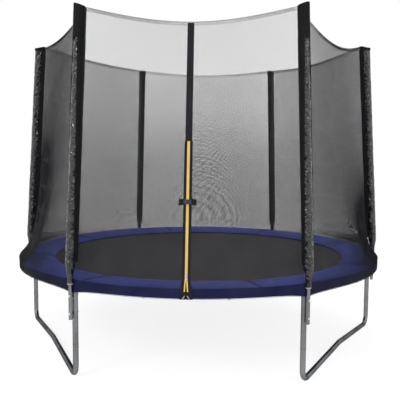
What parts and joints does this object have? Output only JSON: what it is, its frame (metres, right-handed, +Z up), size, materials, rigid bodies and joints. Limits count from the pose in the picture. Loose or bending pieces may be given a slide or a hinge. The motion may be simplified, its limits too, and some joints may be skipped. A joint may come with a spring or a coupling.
{
  "type": "trampoline",
  "caption": "Round garden trampoline on steel W legs, with a blue spring pad and a zipped safety net held by padded poles.",
  "frame": {"origin": "on the floor, straight under the centre of the jumping mat", "axes": "+Z up; the zipped door faces -Y; two opposite net poles stand on the X axis"},
  "size_m": [3.1558, 3.0703, 2.4664],
  "materials": {
    "galvanised_steel": "galvanised tube, semi-gloss with a faint spangle",
    "zinc_bolts": "bright zinc plating",
    "black_plastic": "moulded, fine grain",
    "foam_cover": "crinkled shiny film over foam",
    "pocket_cloth": "matte woven polyester",
    "pad_blue": "coated woven sheet, semi-gloss",
    "skirt_blue": "coated woven sheet",
    "mat_black": "tight woven polypropylene, slight sheen",
    "hem_black": "sewn webbing",
    "net_black": "fine knitted see-through mesh",
    "webbing_black": "ribbed webbing",
    "zip_yellow": "woven zip tape",
    "zip_metal": "nickel plated",
    "elastic_white": "braided elastic"
  },
  "bodies": {
    "root": {"rail_right_back": "galvanised_steel", "rail_back": "galvanised_steel", "rail_left_back": "galvanised_steel", "rail_left_front": "galvanised_steel", "rail_front": "galvanised_steel", "rail_right_front": "galvanised_steel", "t_sockets": "galvanised_steel", "leg_base_left": "galvanised_steel", "leg_base_right": "galvanised_steel", "leg_base_back": "galvanised_steel", "leg_uprights_left": "galvanised_steel", "leg_uprights_right": "galvanised_steel", "leg_uprights_back": "galvanised_steel", "lower_pole_right": "galvanised_steel", "upper_pole_right": "galvanised_steel", "foam_sleeve_right": "foam_cover", "lower_pole_back_right": "galvanised_steel", "upper_pole_back_right": "galvanised_steel", "foam_sleeve_back_right": "foam_cover", "lower_pole_back_left": "galvanised_steel", "upper_pole_back_left": "galvanised_steel", "foam_sleeve_back_left": "foam_cover", "lower_pole_left": "galvanised_steel", "upper_pole_left": "galvanised_steel", "foam_sleeve_left": "foam_cover", "lower_pole_front_left": "galvanised_steel", "upper_pole_front_left": "galvanised_steel", "foam_sleeve_front_left": "foam_cover", "lower_pole_front_right": "galvanised_steel", "upper_pole_front_right": "galvanised_steel", "foam_sleeve_front_right": "foam_cover", "pad_1": "pad_blue", "pad_2": "pad_blue", "pad_3": "pad_blue", "pad_4": "pad_blue", "pad_5": "pad_blue", "pad_6": "pad_blue", "pad_7": "pad_blue", "pad_8": "pad_blue", "pad_skirt": "skirt_blue", "pole_caps": "black_plastic", "pole_spacers": "black_plastic", "pole_bolts": "zinc_bolts", "frame_screws": "zinc_bolts", "springs": "galvanised_steel", "net_wall": "net_black", "net_door_left": "net_black", "net_door_right": "net_black", "net_hem": "hem_black", "net_pole_pockets": "pocket_cloth", "net_ties": "elastic_white", "zip_webbing": "webbing_black", "zip_tape": "zip_yellow", "buckle_socket": "black_plastic"},
    "mat": {"jumping_mat": "mat_black", "mat_hem": "hem_black", "v_rings": "galvanised_steel"},
    "slider": {"zip_slider": "zip_metal"},
    "pull": {"zip_pull": "zip_metal"},
    "plug": {"buckle_plug": "black_plastic"}
  },
  "joints": [
    {"name": "mat_bounce", "type": "slide", "parent": "root", "child": "mat", "axis": [0, 0, -1], "range_m": [0, 0.12], "stiffness_N_per_m": 5000, "springref_m": -0.03, "deforming": ["springs"]},
    {"name": "zip_run", "type": "slide", "parent": "root", "child": "slider", "axis": [0, 0.1938, 0.981], "range_m": [0, 0.825]},
    {"name": "pull_swing", "type": "hinge", "parent": "slider", "child": "pull", "pos_m": [0, -1.52508, 0.75968], "axis": [-1, 0, 0], "range_deg": [0, 170]},
    {"name": "buckle_release", "type": "slide", "parent": "root", "child": "plug", "axis": [1, 0, 0], "range_m": [0, 0.03]}
  ]
}
